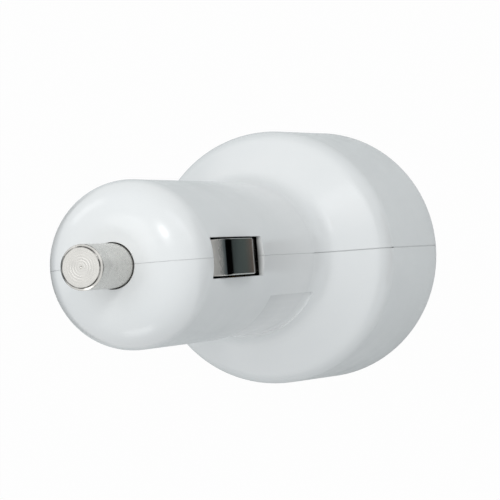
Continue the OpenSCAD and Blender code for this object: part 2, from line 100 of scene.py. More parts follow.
# %% Helpers for colours and nodes
def linear(hex_colour):
    """A screen colour such as 'E4E7E7' as linear red, green, blue and alpha."""
    values = [int(hex_colour[i:i + 2], 16) / 255 for i in (0, 2, 4)]
    return tuple(v / 12.92 if v <= 0.04045 else ((v + 0.055) / 1.055) ** 2.4 for v in values) + (1.0,)


def add(tree, kind, inputs=None, **options):
    """Adds one node to a tree, with its options, and its inputs as values or links."""
    node = tree.nodes.new(kind)
    for name, value in options.items():
        setattr(node, name, value)
    for name, value in (inputs or {}).items():
        if isinstance(value, bpy.types.NodeSocket):
            tree.links.new(value, node.inputs[name])
        else:
            node.inputs[name].default_value = value
    return node


def start_material(name, colour, roughness, metallic=0.0, ior=1.5):
    """A material with a Principled shader, ready for its detail. A metal keeps the default IOR."""
    material = bpy.data.materials.new(name)
    material.use_nodes = True
    tree = material.node_tree
    shader = tree.nodes["Principled BSDF"]
    shader.inputs["Base Color"].default_value = linear(colour)
    shader.inputs["Roughness"].default_value = roughness
    shader.inputs["Metallic"].default_value = metallic
    if metallic == 0:
        shader.inputs["IOR"].default_value = ior
    material.diffuse_color = linear(colour)
    return material, tree, shader


# A Bevel node averages this many directions: enough for edges of a tenth of a millimetre
BEVEL_RAYS = 4
SHADER_INPUTS = {"colour": "Base Color", "gloss": "Roughness", "metal": "Metallic", "normal": "Normal"}
# Noise keeps mostly to the middle of its range, from zero to one
NOISE_SPAN = {"From Min": 0.3, "From Max": 0.7}


def feed(shader, **sources):
    """Links sockets to a shader's colour, gloss, metal and normal, those that are given."""
    for use, socket in sources.items():
        shader.id_data.links.new(socket, shader.inputs[SHADER_INPUTS[use]])


def per_mm(size):
    """Scale of a noise texture, in object coordinates of metres, whose patches are about size mm wide."""
    return 1 / (size * MM)


print("white ABS is", [round(c, 3) for c in linear("E6E7E7")[:3]], "in linear light")

# %% [markdown]
# ## Housing: white ABS, injection moulded
#
# The two halves of the housing are ABS, moulded in a polished steel tool. ABS with white pigment reflects
# about four fifths of the light. The polished tool gives a soft gloss, never a mirror: highlights are
# clear but blurred. Three fine things keep it from looking like a render. The surface has a faint orange
# peel, about a millimetre across. The gloss varies in patches, where the plastic cooled faster or was
# handled. Every moulded edge is slightly round, so it catches a thin line of light: the Bevel node turns
# the normals at an edge by that radius without changing the mesh. Inside the barrel and in the pin's hole
# the colour is painted near black, as painted shade. It fades out in the windows, where it paints the
# shade on their walls, and makes the gaps round the contacts dark.

# %% Moulded ABS material
EDGE_RADIUS = 0.12 * MM
PEEL_WIDTH = 0.9
PEEL_HEIGHT = 0.004 * MM
PATCH_WIDTH = 7
GLOSSIEST, DULLEST = 0.17, 0.26
# Zones of painted shade: radius where it is full, radius where it has faded out, lowest and highest point
BARREL_PAINTED_SHADE = (9.2 * MM, 9.95 * MM, 17.5 * MM, 70.5 * MM)
HOLE_PAINTED_SHADE = (3.1 * MM, 3.2 * MM, 17.5 * MM, 75.6 * MM)


def within(tree, value, low, high):
    """One where a value lies between low and high, and zero elsewhere."""
    above = add(tree, "ShaderNodeMath", {0: value, 1: low}, operation="GREATER_THAN")
    below = add(tree, "ShaderNodeMath", {0: value, 1: high}, operation="LESS_THAN")
    return add(tree, "ShaderNodeMath", {0: above.outputs["Value"], 1: below.outputs["Value"]},
               operation="MULTIPLY").outputs["Value"]


def radius_of(tree, place):
    """Distance of a place from the plug's axis."""
    flat = add(tree, "ShaderNodeVectorMath", {0: place, 1: (1.0, 1.0, 0.0)}, operation="MULTIPLY")
    reach = add(tree, "ShaderNodeVectorMath", {0: flat.outputs["Vector"]}, operation="LENGTH")
    return reach.outputs["Value"]


def painted_shade_zone(tree, place):
    """One inside the barrel and in the pin's hole, where shade is painted near black, fading out at the
    windows.
    """
    radius = radius_of(tree, place)
    height = add(tree, "ShaderNodeSeparateXYZ", {"Vector": place}).outputs["Z"]
    zones = []
    for full_r, none_r, zone_low, zone_high in (BARREL_PAINTED_SHADE, HOLE_PAINTED_SHADE):
        inward = add(tree, "ShaderNodeMapRange", {"Value": radius, "From Min": full_r, "From Max": none_r,
                                                  "To Min": 1.0, "To Max": 0.0}).outputs["Result"]
        along = within(tree, height, zone_low, zone_high)
        zone = add(tree, "ShaderNodeMath", {0: inward, 1: along}, operation="MULTIPLY")
        zones.append(zone.outputs["Value"])
    return add(tree, "ShaderNodeMath", {0: zones[0], 1: zones[1]}, operation="MAXIMUM").outputs["Value"]


def moulded_abs():
    material, tree, shader = start_material("white_abs_moulded", "E6E7E7", 0.3, ior=1.53)
    place = add(tree, "ShaderNodeTexCoord").outputs["Object"]
    patches = add(tree, "ShaderNodeTexNoise", {"Vector": place, "Scale": per_mm(PATCH_WIDTH),
                                               "Detail": 3.0})
    gloss = add(tree, "ShaderNodeMapRange", {"Value": patches.outputs["Fac"], **NOISE_SPAN,
                                             "To Min": GLOSSIEST, "To Max": DULLEST})
    tint = add(tree, "ShaderNodeMix", {"Factor": patches.outputs["Fac"], "A": linear("E4E6E6"),
                                       "B": linear("E8E9E8")}, data_type="RGBA")
    peel = add(tree, "ShaderNodeTexNoise", {"Vector": place, "Scale": per_mm(PEEL_WIDTH), "Detail": 2.0})
    edges = add(tree, "ShaderNodeBevel", {"Radius": EDGE_RADIUS}, samples=BEVEL_RAYS)
    bump = add(tree, "ShaderNodeBump", {"Height": peel.outputs["Fac"], "Strength": 0.25,
                                        "Distance": PEEL_HEIGHT, "Normal": edges.outputs["Normal"]})
    # Painted shade: the inside of the barrel, the pin's hole and the window walls are darkened in colour
    with_painted_shade = add(tree, "ShaderNodeMix", {"Factor": painted_shade_zone(tree, place), "A": tint.outputs["Result"],
                                         "B": linear("1A1A1B")}, data_type="RGBA")
    feed(shader, colour=with_painted_shade.outputs["Result"], gloss=gloss.outputs["Result"],
         normal=bump.outputs["Normal"])
    return material


def dress(material, *node_names):
    """Gives CAD pieces a material in place of the plain one that they came with."""
    for name in node_names:
        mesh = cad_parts[name].data
        mesh.materials.clear()
        mesh.materials.append(material)
    print(material.name, "on", ", ".join(node_names))


housing_material = moulded_abs()
dress(housing_material, "upper_shell", "lower_shell")

# %% [markdown]
# ## Meshes from a path
#
# The pin and a side contact show in the photograph, and light on metal shows every flat facet. So they are
# made here with many small faces and real rounded edges. A turned piece is an outline carried round the
# axis. A bent strip or a wire is a small section carried along a path. Both are grids of points joined by
# four-sided faces, so one function builds any such grid.

# %% Helpers for meshes
def new_piece(name, points, faces, body, material, replaced=None, sharp_angle=35):
    """Makes a mesh piece, smooth apart from edges sharper than sharp_angle. It may stand for a CAD node."""
    mesh = bpy.data.meshes.new(name)
    mesh.from_pydata([tuple(p) for p in points], [], faces)
    work = bmesh.new()
    work.from_mesh(mesh)
    bmesh.ops.recalc_face_normals(work, faces=work.faces)
    work.to_mesh(mesh)
    work.free()
    mesh.polygons.foreach_set("use_smooth", [True] * len(mesh.polygons))
    mesh.set_sharp_from_angle(angle=math.radians(sharp_angle))
    mesh.materials.append(material)
    piece = bpy.data.objects.new(name, mesh)
    scene.collection.objects.link(piece)
    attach(piece, body)
    if replaced:
        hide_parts(replaced)
    print(f"{name}: {len(mesh.vertices)} points, rides on {body}, stands for {replaced or 'nothing else'}")
    return piece


def grid_faces(rings, sides):
    """Four-sided faces between rings of points, each ring closed on itself."""
    return [
        (i * sides + s, (i + 1) * sides + s, (i + 1) * sides + (s + 1) % sides, i * sides + (s + 1) % sides)
        for i in range(rings - 1) for s in range(sides)
    ]


def end_faces(count, sides):
    """The two faces that close the first and the last ring of a grid of points."""
    return [tuple(range(sides)), tuple(range(count - sides, count))]


def arc(centre_u, centre_v, radius, start, stop, steps):
    """Points of an arc between two angles in degrees, as (u, v)."""
    angles = [math.radians(start + (stop - start) * i / steps) for i in range(steps + 1)]
    return [(centre_u + radius * math.cos(a), centre_v + radius * math.sin(a)) for a in angles]


# %% [markdown]
# ## Weld bead in the joint
#
# The two halves are joined with ultrasound: it melts a thin bead of plastic, which rises into the joint. On
# the front of the head the bead stops a little below the surface, so the joint shows there as a fine line.
# On the side of the head, the barrel and the nose it nearly fills the joint, and the line almost goes. The
# bead follows the outline of the housing, a chain of straight stretches and arcs in the plane y = 0. The
# windows of the side contacts interrupt it.

# %% Outline of the housing
# Lengths in millimetres and angles in degrees, as in the construction model
REAR_R, SHOULDER_END_R, HEAD_SIDE = 17.9, 17.4, 20.6
SHOULDER_R, FRONT_ANGLE, ROOT_R = 6.0, 41, 7.5
BARREL_ROOT_R, BARREL_NOSE_R = 10.3, 10.0
NOSE_R, BODY_LEN = 6.0, 76.7


def toward(angle):
    """Unit vector (r, z) at an angle in degrees from the radial direction."""
    return Vector((math.cos(math.radians(angle)), math.sin(math.radians(angle))))


def crossing(a, k_a, b, k_b):
    """Point where two lines cross. A line holds the points p with p @ toward(a) = k_a."""
    return Matrix((toward(a), toward(b))).inverted() @ Vector((k_a, k_b))


def on_line(angle, k, z, depth):
    """Point (r, z) at some depth under a nearly straight side of the housing."""
    normal = toward(angle)
    return ((k - depth - z * normal.y) / normal.x, z)


side_taper = math.degrees(math.atan((REAR_R - SHOULDER_END_R) / HEAD_SIDE))
side_k = REAR_R * toward(side_taper).x
shoulder = crossing(side_taper, side_k - SHOULDER_R, 90, HEAD_SIDE)
front_k = shoulder @ toward(FRONT_ANGLE) + SHOULDER_R
nose_start = BODY_LEN - NOSE_R
barrel_taper = math.degrees(math.atan((BARREL_ROOT_R - BARREL_NOSE_R) / (nose_start - HEAD_SIDE)))
barrel_k = Vector((BARREL_NOSE_R, nose_start)) @ toward(barrel_taper)
root = crossing(barrel_taper, barrel_k + ROOT_R, FRONT_ANGLE, front_k + ROOT_R)
nose = crossing(barrel_taper, barrel_k - NOSE_R, 90, nose_start)
print("shoulder, root and nose arcs round", [[round(v, 2) for v in c] for c in (shoulder, root, nose)])

# %% Weld bead
BEAD_THICK = 0.15
HEAD_HALF, HAIRLINE_HALF = 0.048, 0.0145
SIDE_DEPTH, FRONT_DEPTH, HAIRLINE_DEPTH = 0.03, 0.1, 0.012
# Ends of the bead: above the rear rim's chamfer, on either side of the window, and beside the pin's hole
CHAMFER_TOP = 0.45
WINDOW_LOW, WINDOW_HIGH = 52.95, 70.35
HOLE_EDGE_R = 2.82


def bead_stretches(sink):
    """Points (r, z) of each stretch in mm, sunk further by sink, and its half width."""
    side, front, hair = SIDE_DEPTH + sink, FRONT_DEPTH + sink, HAIRLINE_DEPTH + sink
    yield [on_line(side_taper, side_k, z, side) for z in (CHAMFER_TOP, HEAD_SIDE)], HEAD_HALF
    yield (arc(*shoulder, SHOULDER_R - front, side_taper + 3, FRONT_ANGLE, 16)
           + arc(*root, ROOT_R + front, FRONT_ANGLE - 180, barrel_taper - 178, 16)), HEAD_HALF
    yield [on_line(barrel_taper, barrel_k, z, hair) for z in (root.y + 0.1, WINDOW_LOW)], HAIRLINE_HALF
    yield ([on_line(barrel_taper, barrel_k, WINDOW_HIGH, hair)]
           + arc(*nose, NOSE_R - hair, barrel_taper, 90, 24)
           + [(HOLE_EDGE_R, BODY_LEN - hair)]), HAIRLINE_HALF


def weld_bead():
    points, faces = [], []
    for side in (1, -1):
        for (outer, half), (inner, _) in zip(bead_stretches(0), bead_stretches(BEAD_THICK)):
            first = len(points)
            for (r0, z0), (r1, z1) in zip(outer, inner):
                corners = ((r0, -half, z0), (r0, half, z0), (r1, half, z1), (r1, -half, z1))
                points += [Vector((side * r, y, z)) * MM for r, y, z in corners]
            stretch = grid_faces(len(outer), 4) + end_faces(4 * len(outer), 4)
            faces += [tuple(first + i for i in face) for face in stretch]
    return points, faces


bead_points, bead_faces = weld_bead()
new_piece("weld_bead", bead_points, bead_faces, "housing", housing_material)

# %% [markdown]
# ## Tip pin: turned brass, nickel plated
#
# The pin carries the supply's plus pole. A lathe turns it from brass rod, so its end shows fine rings, a
# small dimple in the middle, and a chamfered edge. Barrel plating with nickel leaves the side satin. The
# rings on the end are real grooves here: 0.01 mm is enough for a highlight to break on them. Each corner
# of the chamfer is drawn by a thin painted dark line of uneven width, as painted shade.
# Hidden inside, the flange that keeps the pin in and the stem inside the spring follow the frame.

# %% Sizes of the pin's end
PIN_R = 2.6 * MM
PIN_CHAMFER = 0.3 * MM
CHAMFER_ROUND = 0.07 * MM
PIN_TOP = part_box("tip_contact")[1].z
# Half widths of the painted shade lines at the two edges of the chamfer
INNER_SHADE_HALF_WIDTH = 0.12 * MM
OUTER_SHADE_HALF_WIDTH = 0.07 * MM
# Widths in mm of the patches in the painted shade, of the clouds in the plating and of its grain
SHADE_UNEVEN_PATCH, PLATING_CLOUD, PLATING_GRAIN = 1.1, 1.5, 0.12
print(f"the pin ends {PIN_TOP / MM:.1f} mm above the rear face")


# %% Satin nickel material
def painted_line_of_shade(tree, value, centre, half_width):
    """One on a line where value equals centre, fading to zero half_width away from it."""
    offset = add(tree, "ShaderNodeMath", {0: value, 1: centre}, operation="SUBTRACT")
    distance = add(tree, "ShaderNodeMath", {0: offset.outputs["Value"]}, operation="ABSOLUTE")
    return add(tree, "ShaderNodeMapRange", {"Value": distance.outputs["Value"],
                                            "From Min": half_width * 0.2, "From Max": half_width,
                                            "To Min": 1.0, "To Max": 0.0})


def satin_nickel():
    material, tree, shader = start_material("nickel_plate_satin", "D0CFCB", 0.24, metallic=1.0)
    place = add(tree, "ShaderNodeTexCoord").outputs["Object"]
    height = add(tree, "ShaderNodeSeparateXYZ", {"Vector": place}).outputs["Z"]
    uneven = add(tree, "ShaderNodeTexNoise", {"Vector": place, "Scale": per_mm(SHADE_UNEVEN_PATCH), "Detail": 3.0})
    inner = painted_line_of_shade(tree, radius_of(tree, place), PIN_R - PIN_CHAMFER, INNER_SHADE_HALF_WIDTH)
    outer = painted_line_of_shade(tree, height, PIN_TOP - PIN_CHAMFER, OUTER_SHADE_HALF_WIDTH)
    shares = []
    for line, lightest, darkest in ((inner, 0.3, 0.55), (outer, 0.48, 0.62)):
        patchiness = add(tree, "ShaderNodeMapRange", {"Value": uneven.outputs["Fac"], "From Min": lightest,
                                                "From Max": darkest, "To Min": 0.25, "To Max": 1.0})
        shares.append(add(tree, "ShaderNodeMath", {0: line.outputs["Result"], 1: patchiness.outputs["Result"]},
                          operation="MULTIPLY").outputs["Value"])
    # Painted shade: near black lines of uneven width at the two edges of the chamfer
    chamfer_shade = add(tree, "ShaderNodeMath", {0: shares[0], 1: shares[1]}, operation="MAXIMUM")
    tint = add(tree, "ShaderNodeMix", {"Factor": chamfer_shade.outputs["Value"], "A": linear("D0CFCB"),
                                       "B": linear("232221")}, data_type="RGBA")
    clouds = add(tree, "ShaderNodeTexNoise", {"Vector": place, "Scale": per_mm(PLATING_CLOUD),
                                              "Detail": 4.0})
    gloss = add(tree, "ShaderNodeMapRange", {"Value": clouds.outputs["Fac"], **NOISE_SPAN,
                                             "To Min": 0.2, "To Max": 0.32})
    grain = add(tree, "ShaderNodeTexNoise", {"Vector": place, "Scale": per_mm(PLATING_GRAIN),
                                             "Detail": 2.0})
    bump = add(tree, "ShaderNodeBump", {"Height": grain.outputs["Fac"], "Strength": 0.2,
                                        "Distance": 0.002 * MM})
    feed(shader, colour=tint.outputs["Result"], gloss=gloss.outputs["Result"],
         normal=bump.outputs["Normal"])
    return material


pin_material = satin_nickel()
print("made", pin_material.name)

# %% Turned pin
PIN_SEGMENTS = 160
RING_PITCH = 0.31 * MM
RING_DEPTH = 0.007 * MM
FACE_STEPS = 84
DIMPLE_R = 0.2 * MM
DIMPLE_DEPTH = 0.2 * MM
STEM_R = 1.6 * MM
STEM_LEN = 5 * MM
FLANGE_T = 1.2 * MM
BROKEN_EDGE = 0.1 * MM


def pin_outline():
    """Outline of the pin from its inner end to the middle of its face, as (radius, height)."""
    low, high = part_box("tip_contact")
    flange_r = high.x
    flange_z = low.z + STEM_LEN
    flange_top = flange_z + FLANGE_T
    points = [(0, low.z), (STEM_R - 2 * BROKEN_EDGE, low.z), (STEM_R, low.z + 2 * BROKEN_EDGE)]
    points += [(STEM_R, flange_z), (flange_r - BROKEN_EDGE, flange_z), (flange_r, flange_z + BROKEN_EDGE)]
    points += [(flange_r, flange_top), (PIN_R, flange_top)]
    lean = CHAMFER_ROUND * (math.sqrt(2) - 1)
    outer_z = PIN_TOP - PIN_CHAMFER - lean
    points += [(PIN_R, flange_top + BROKEN_EDGE), (PIN_R, outer_z - BROKEN_EDGE)]
    points += arc(PIN_R - CHAMFER_ROUND, outer_z, CHAMFER_ROUND, 0, 45, 6)
    face_r = PIN_R - PIN_CHAMFER - lean
    points += arc(face_r, PIN_TOP - CHAMFER_ROUND, CHAMFER_ROUND, 45, 90, 6)
    for i in range(1, FACE_STEPS + 1):
        radius = face_r + (DIMPLE_R - face_r) * i / FACE_STEPS
        inward = face_r - radius
        # The rings are deepest about half way in from the edge, and faint elsewhere
        swell = 0.15 + 0.85 * math.sin(1.2 * inward / MM) ** 4
        groove = RING_DEPTH * swell * (0.5 - 0.5 * math.cos(2 * math.pi * inward / RING_PITCH))
        points.append((radius, PIN_TOP - groove))
    points += [(DIMPLE_R * 0.5, PIN_TOP - DIMPLE_DEPTH * 0.6), (0, PIN_TOP - DIMPLE_DEPTH)]
    return points


def turned(outline, segments):
    """Points and faces of an outline turned round the Z axis, closed where it meets the axis."""
    inner = outline[1:-1]
    points = [
        (r * math.cos(2 * math.pi * s / segments), r * math.sin(2 * math.pi * s / segments), z)
        for r, z in inner for s in range(segments)
    ]
    faces = grid_faces(len(inner), segments)
    first, last = len(points), len(points) + 1
    points += [(0, 0, outline[0][1]), (0, 0, outline[-1][1])]
    end = (len(inner) - 1) * segments
    faces += [(first, (s + 1) % segments, s) for s in range(segments)]
    faces += [(last, end + s, end + (s + 1) % segments) for s in range(segments)]
    return points, faces


pin_points, pin_faces = turned(pin_outline(), PIN_SEGMENTS)
new_piece("tip_pin", pin_points, pin_faces, "tip", pin_material, "tip_contact")

# %% [markdown]
# ## Side contacts: bright nickel on spring strip
#
# Each side contact is a strip of spring steel, stamped, bent and plated with bright nickel. It bows out
# of its window and presses on the wall of the socket. The crown of the bow is almost a mirror, so what we
# see of it is mostly its surroundings. Its front flank has rubbed on sockets and is frosted. The strip is a
# rounded rectangle carried along a path: a leg that wipes its terminal, a foot under the rear edge of the
# window, a flank, the nearly flat crown, a flank, and a foot under the front edge. Strip can't bend to a
# sharp corner, so each corner of the path is an arc: a wide one at the front of the crown, and nearly a
# crease at its rear.

# %% Bright nickel material
# Widths in mm of the rolling lines, the worn spots and the pits between them
ROLLING_LINE, WORN_SPOT, PIT = 0.15, 0.7, 0.25
# Distance from the front end of the strip at which the frosting is full, and at which it is gone
FROST_FULL, FROST_GONE = 2.2 * MM, 4.0 * MM
# How much taller the pits are than the rolling lines
PIT_SHARE = 40.0


def bright_nickel():
    material, tree, shader = start_material("nickel_plate_bright", "C6C5C1", 0.08, metallic=1.0)
    place = add(tree, "ShaderNodeTexCoord").outputs["Object"]
    stretched = add(tree, "ShaderNodeMapping", {"Vector": place, "Scale": (1.0, 1.0, 0.08)})
    rolled = add(tree, "ShaderNodeTexNoise", {"Vector": stretched.outputs["Vector"],
                                              "Scale": per_mm(ROLLING_LINE), "Detail": 3.0})
    spots = add(tree, "ShaderNodeTexNoise", {"Vector": place, "Scale": per_mm(WORN_SPOT), "Detail": 4.0})
    height = add(tree, "ShaderNodeSeparateXYZ", {"Vector": place}).outputs["Z"]
    strip_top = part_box("side_contact_right")[1].z
    rubbed = add(tree, "ShaderNodeMapRange", {"Value": height, "From Min": strip_top - FROST_GONE,
                                              "From Max": strip_top - FROST_FULL})
    mottled = add(tree, "ShaderNodeMath", {0: spots.outputs["Fac"], 1: 0.35}, operation="ADD")
    frosted = add(tree, "ShaderNodeMath", {0: mottled.outputs["Value"], 1: rubbed.outputs["Result"]},
                  operation="MULTIPLY")
    gloss = add(tree, "ShaderNodeMapRange", {"Value": frosted.outputs["Value"],
                                             "To Min": 0.07, "To Max": 0.5})
    pits = add(tree, "ShaderNodeTexNoise", {"Vector": place, "Scale": per_mm(PIT), "Detail": 3.0})
    roughened = add(tree, "ShaderNodeMath", {0: pits.outputs["Fac"], 1: rubbed.outputs["Result"]},
                    operation="MULTIPLY")
    relief = add(tree, "ShaderNodeMath",
                 {0: roughened.outputs["Value"], 1: PIT_SHARE, 2: rolled.outputs["Fac"]},
                 operation="MULTIPLY_ADD")
    bump = add(tree, "ShaderNodeBump", {"Height": relief.outputs["Value"], "Strength": 0.15,
                                        "Distance": 0.001 * MM})
    feed(shader, gloss=gloss.outputs["Result"], normal=bump.outputs["Normal"])
    return material


leaf_material = bright_nickel()
print("made", leaf_material.name)

# %% Strip along a path
STRIP_T = 0.4 * MM
TOP_EDGE = 0.05 * MM
LOW_EDGE = 0.14 * MM
CORNER_R = 0.45 * MM
LEG_REACH = 3.6 * MM
BOW_MIDDLE = 11.65 * MM
FLANK_HALF = 7.95 * MM
FLANK_ANGLE = 27
CROWN_R = 40 * MM
FRONT_BEND_R = 5 * MM
REAR_CREASE = 3.15 * MM
CREASE_R = 0.25 * MM
SIDE_ROOM = 0.1 * MM


def rounded_corner(before, corner, after, radius, steps=8):
    """Points of an arc that rounds one corner of a path."""
    into = (before - corner).normalized()
    out = (after - corner).normalized()
    half = into.angle(out) / 2
    centre = corner + (into + out).normalized() * radius / math.sin(half)
    start = corner + into * radius / math.tan(half) - centre
    stop = corner + out * radius / math.tan(half) - centre
    turn = start.angle_signed(stop)
    return [centre + Matrix.Rotation(-turn * i / steps, 2) @ start for i in range(steps + 1)]


def straight(start, stop, steps=12):
    """Points between two ends of a straight stretch."""
    return [start.lerp(stop, i / steps) for i in range(1, steps)]


def bend_arc(crown_x, flank_k, bend_r):
    """Angle where the crown ends, and the arc from there to the flank, both for the strip's middle line."""
    flank = math.radians(FLANK_ANGLE)
    crown_r = CROWN_R - STRIP_T / 2
    bend_r -= STRIP_T / 2
    centre_x = crown_x - crown_r
    crown_end = flank - math.acos((flank_k - bend_r - centre_x * math.cos(flank)) / (crown_r - bend_r))
    reach = crown_r - bend_r
    centre = Vector((centre_x + reach * math.cos(crown_end), reach * math.sin(crown_end)))
    end_angle = math.degrees(crown_end)
    return end_angle, arc(centre.x, centre.y, bend_r, end_angle, FLANK_ANGLE, 24)


def strip_path(low, high):
    """Middle line of the strip as (x, z) points: leg, rear foot, bow and front foot."""
    flank = math.radians(FLANK_ANGLE)
    foot_x = low.x + LEG_REACH - STRIP_T / 2
    crown_x = high.x - STRIP_T / 2
    middle = Vector((0, low.z + BOW_MIDDLE))
    flank_k = (foot_x + STRIP_T / 2) * math.cos(flank) + FLANK_HALF * math.sin(flank) - STRIP_T / 2
    foot_end = (flank_k - foot_x * math.cos(flank)) / math.sin(flank)
    front_angle, front_bend = bend_arc(crown_x, flank_k, FRONT_BEND_R)
    crown_r = CROWN_R - STRIP_T / 2
    rear_angle = math.degrees(math.asin(REAR_CREASE / crown_r))
    crown = arc(crown_x - crown_r, 0, crown_r, -rear_angle, front_angle, 60)
    bow = [Vector(p) + middle for p in crown + front_bend[1:]]
    leg_end = Vector((low.x, low.z + STRIP_T / 2))
    knee = Vector((foot_x, low.z + STRIP_T / 2))
    heel = Vector((foot_x, -foot_end)) + middle
    ball = Vector((foot_x, foot_end)) + middle
    toe = Vector((foot_x, high.z))
    rear = rounded_corner(knee, heel, bow[0], 2 * CORNER_R)
    crease = rounded_corner(heel, bow[0], bow[1], CREASE_R)
    front = rounded_corner(bow[-1], ball, toe, 2 * CORNER_R)
    path = [leg_end] + rounded_corner(leg_end, knee, heel, CORNER_R) + rear + straight(rear[-1], crease[0])
    return path + crease + bow[1:] + straight(bow[-1], front[0]) + front + [toe]


def strip_section(width):
    """Rounded rectangle across the strip, as (sideways, outwards) points. One cut edge is sharper."""
    # An extra point close to each corner keeps the shading of the flat sides flat
    beside = 0.02 * MM
    points = []
    for u_side, v_side, start in ((1, 1, 0), (-1, 1, 90), (-1, -1, 180), (1, -1, 270)):
        edge = TOP_EDGE if u_side > 0 else LOW_EDGE
        corner = arc(u_side * (width / 2 - edge), v_side * (STRIP_T / 2 - edge), edge, start, start + 90, 5)
        a, b = math.radians(start), math.radians(start + 90)
        points.append((corner[0][0] + beside * math.sin(a), corner[0][1] - beside * math.cos(a)))
        points += corner
        points.append((corner[-1][0] - beside * math.sin(b), corner[-1][1] + beside * math.cos(b)))
    return points


def side_contact(name, replaced, body, side):
    low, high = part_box("side_contact_right")
    path = strip_path(low, high)
    section = strip_section(high.y - low.y - 2 * SIDE_ROOM)
    points = []
    for i, centre in enumerate(path):
        along = (path[min(i + 1, len(path) - 1)] - path[max(i - 1, 0)]).normalized()
        outward = Vector((along.y, -along.x))
        for u, v in section:
            x, z = centre + outward * v
            points.append((side * x, u, z))
    faces = grid_faces(len(path), len(section)) + end_faces(len(points), len(section))
    return new_piece(name, points, faces, body, leaf_material, replaced)


side_contact("leaf_right", "side_contact_right", "right_contact", 1)
side_contact("leaf_left", "side_contact_left", "left_contact", -1)

# %% [markdown]
# ## Spring: drawn steel wire
#
# Behind the pin sits a coil of spring wire with closed ends. It is a circle carried along a helix whose
# pitch is small at both ends.

# %% Coil spring
WIRE_R = 0.3 * MM
COIL_R = 2.2 * MM
TURNS = 8
STEPS_A_TURN = 48
WIRE_SIDES = 14


def spring_wire_material():
    material, tree, shader = start_material("spring_steel_drawn", "A9A9A8", 0.3, metallic=1.0)
    place = add(tree, "ShaderNodeTexCoord").outputs["Object"]
    draw_marks = add(tree, "ShaderNodeTexNoise", {"Vector": place, "Scale": per_mm(0.2), "Detail": 3.0})
    gloss = add(tree, "ShaderNodeMapRange", {"Value": draw_marks.outputs["Fac"],
                                             "To Min": 0.22, "To Max": 0.4})
    feed(shader, gloss=gloss.outputs["Result"])
    return material


def coil_height(turn, length):
    """Height of the wire after some turns: closed at both ends, evenly pitched between."""
    closed = 2 * WIRE_R
    if turn < 1:
        return closed * turn
    if turn > TURNS - 1:
        return length - closed - closed * (TURNS - turn)
    return closed + (turn - 1) / (TURNS - 2) * (length - 3 * closed)


def coil_points(low, length):
    points = []
    for i in range(TURNS * STEPS_A_TURN + 1):
        turn = i / STEPS_A_TURN
        a = 2 * math.pi * turn
        for u, v in arc(0, 0, WIRE_R, 0, 360, WIRE_SIDES)[:-1]:
            points.append(((COIL_R + u) * math.cos(a), (COIL_R + u) * math.sin(a),
                           low + WIRE_R + coil_height(turn, length) + v))
    return points


spring_low, spring_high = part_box("tip_spring")
spring_length = spring_high.z - spring_low.z
wire_points = coil_points(spring_low.z, spring_length)
wire_faces = grid_faces(TURNS * STEPS_A_TURN + 1, WIRE_SIDES) + end_faces(len(wire_points), WIRE_SIDES)
spring = new_piece("coil_spring", wire_points, wire_faces, "housing",
                   spring_wire_material(), "tip_spring")
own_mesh(spring)

# %% [markdown]
# ## Metals inside
#
# Brass plates carry the current from the contacts to the board. The port's shell is thin steel, folded and
# nickel plated, with a faint grain from the rolling mill. Its four blades have a flash of gold, and the
# chip's leads are tinned. Each is a metal, so its colour is the colour of its reflection, and only the
# roughness and a fine grain tell how it was made.

# %% Metal materials
METAL_EDGE = 0.04 * MM
TARNISH_CLOUD = 2.5


def grained_metal(name, colour, roughness, grain_mm, stretch=(1.0, 1.0, 1.0), tarnish=None):
    """Rolled, stamped or plated metal: a grain of a given width, drawn out along one axis by stretch."""
    material, tree, shader = start_material(name, colour, roughness, metallic=1.0)
    place = add(tree, "ShaderNodeTexCoord").outputs["Object"]
    drawn = add(tree, "ShaderNodeMapping", {"Vector": place, "Scale": stretch})
    grain = add(tree, "ShaderNodeTexNoise", {"Vector": drawn.outputs["Vector"], "Scale": per_mm(grain_mm),
                                             "Detail": 3.0})
    gloss = add(tree, "ShaderNodeMapRange", {"Value": grain.outputs["Fac"], **NOISE_SPAN,
                                             "To Min": roughness * 0.8, "To Max": roughness * 1.25})
    clouds = add(tree, "ShaderNodeTexNoise", {"Vector": place, "Scale": per_mm(TARNISH_CLOUD),
                                              "Detail": 3.0})
    tint = add(tree, "ShaderNodeMix", {"Factor": clouds.outputs["Fac"], "A": linear(colour),
                                       "B": linear(tarnish or colour)}, data_type="RGBA")
    edges = add(tree, "ShaderNodeBevel", {"Radius": METAL_EDGE}, samples=BEVEL_RAYS)
    bump = add(tree, "ShaderNodeBump", {"Height": grain.outputs["Fac"], "Strength": 0.15,
                                        "Distance": 0.002 * MM, "Normal": edges.outputs["Normal"]})
    feed(shader, colour=tint.outputs["Result"], gloss=gloss.outputs["Result"],
         normal=bump.outputs["Normal"])
    return material


dress(grained_metal("brass_stamped", "D9BE7C", 0.28, 0.3, (1.0, 0.1, 1.0), "C7A765"),
      "spring_terminal", "ground_terminal_right", "ground_terminal_left")
dress(grained_metal("steel_nickel_plated", "C9CACA", 0.26, 0.18, (1.0, 1.0, 0.08), "BDBEBD"), "usb_shell")
dress(grained_metal("gold_flash_on_bronze", "E8C879", 0.2, 0.15, (1.0, 1.0, 0.1), "DDB964"),
      "usb_pin_1", "usb_pin_2", "usb_pin_3", "usb_pin_4")
dress(grained_metal("tinned_copper", "D5D6D6", 0.32, 0.12, tarnish="C4C6C6"), "chip_leads")

# %% [markdown]
# ## Plastics, ceramics and the board
#
# The tongue in the port is moulded nylon: white, with a duller surface than the housing. The board is glass
# cloth in epoxy under a green solder mask, and the weave shows faintly as a fine grid about half a
# millimetre wide, while copper tracks under the mask make slightly paler stripes. Chips are black epoxy
# filled with fine sand. Ferrite is fired iron oxide, dark grey with a sandy grain.

# %% Plastics and ceramics
SOLID_EDGE = 0.06 * MM


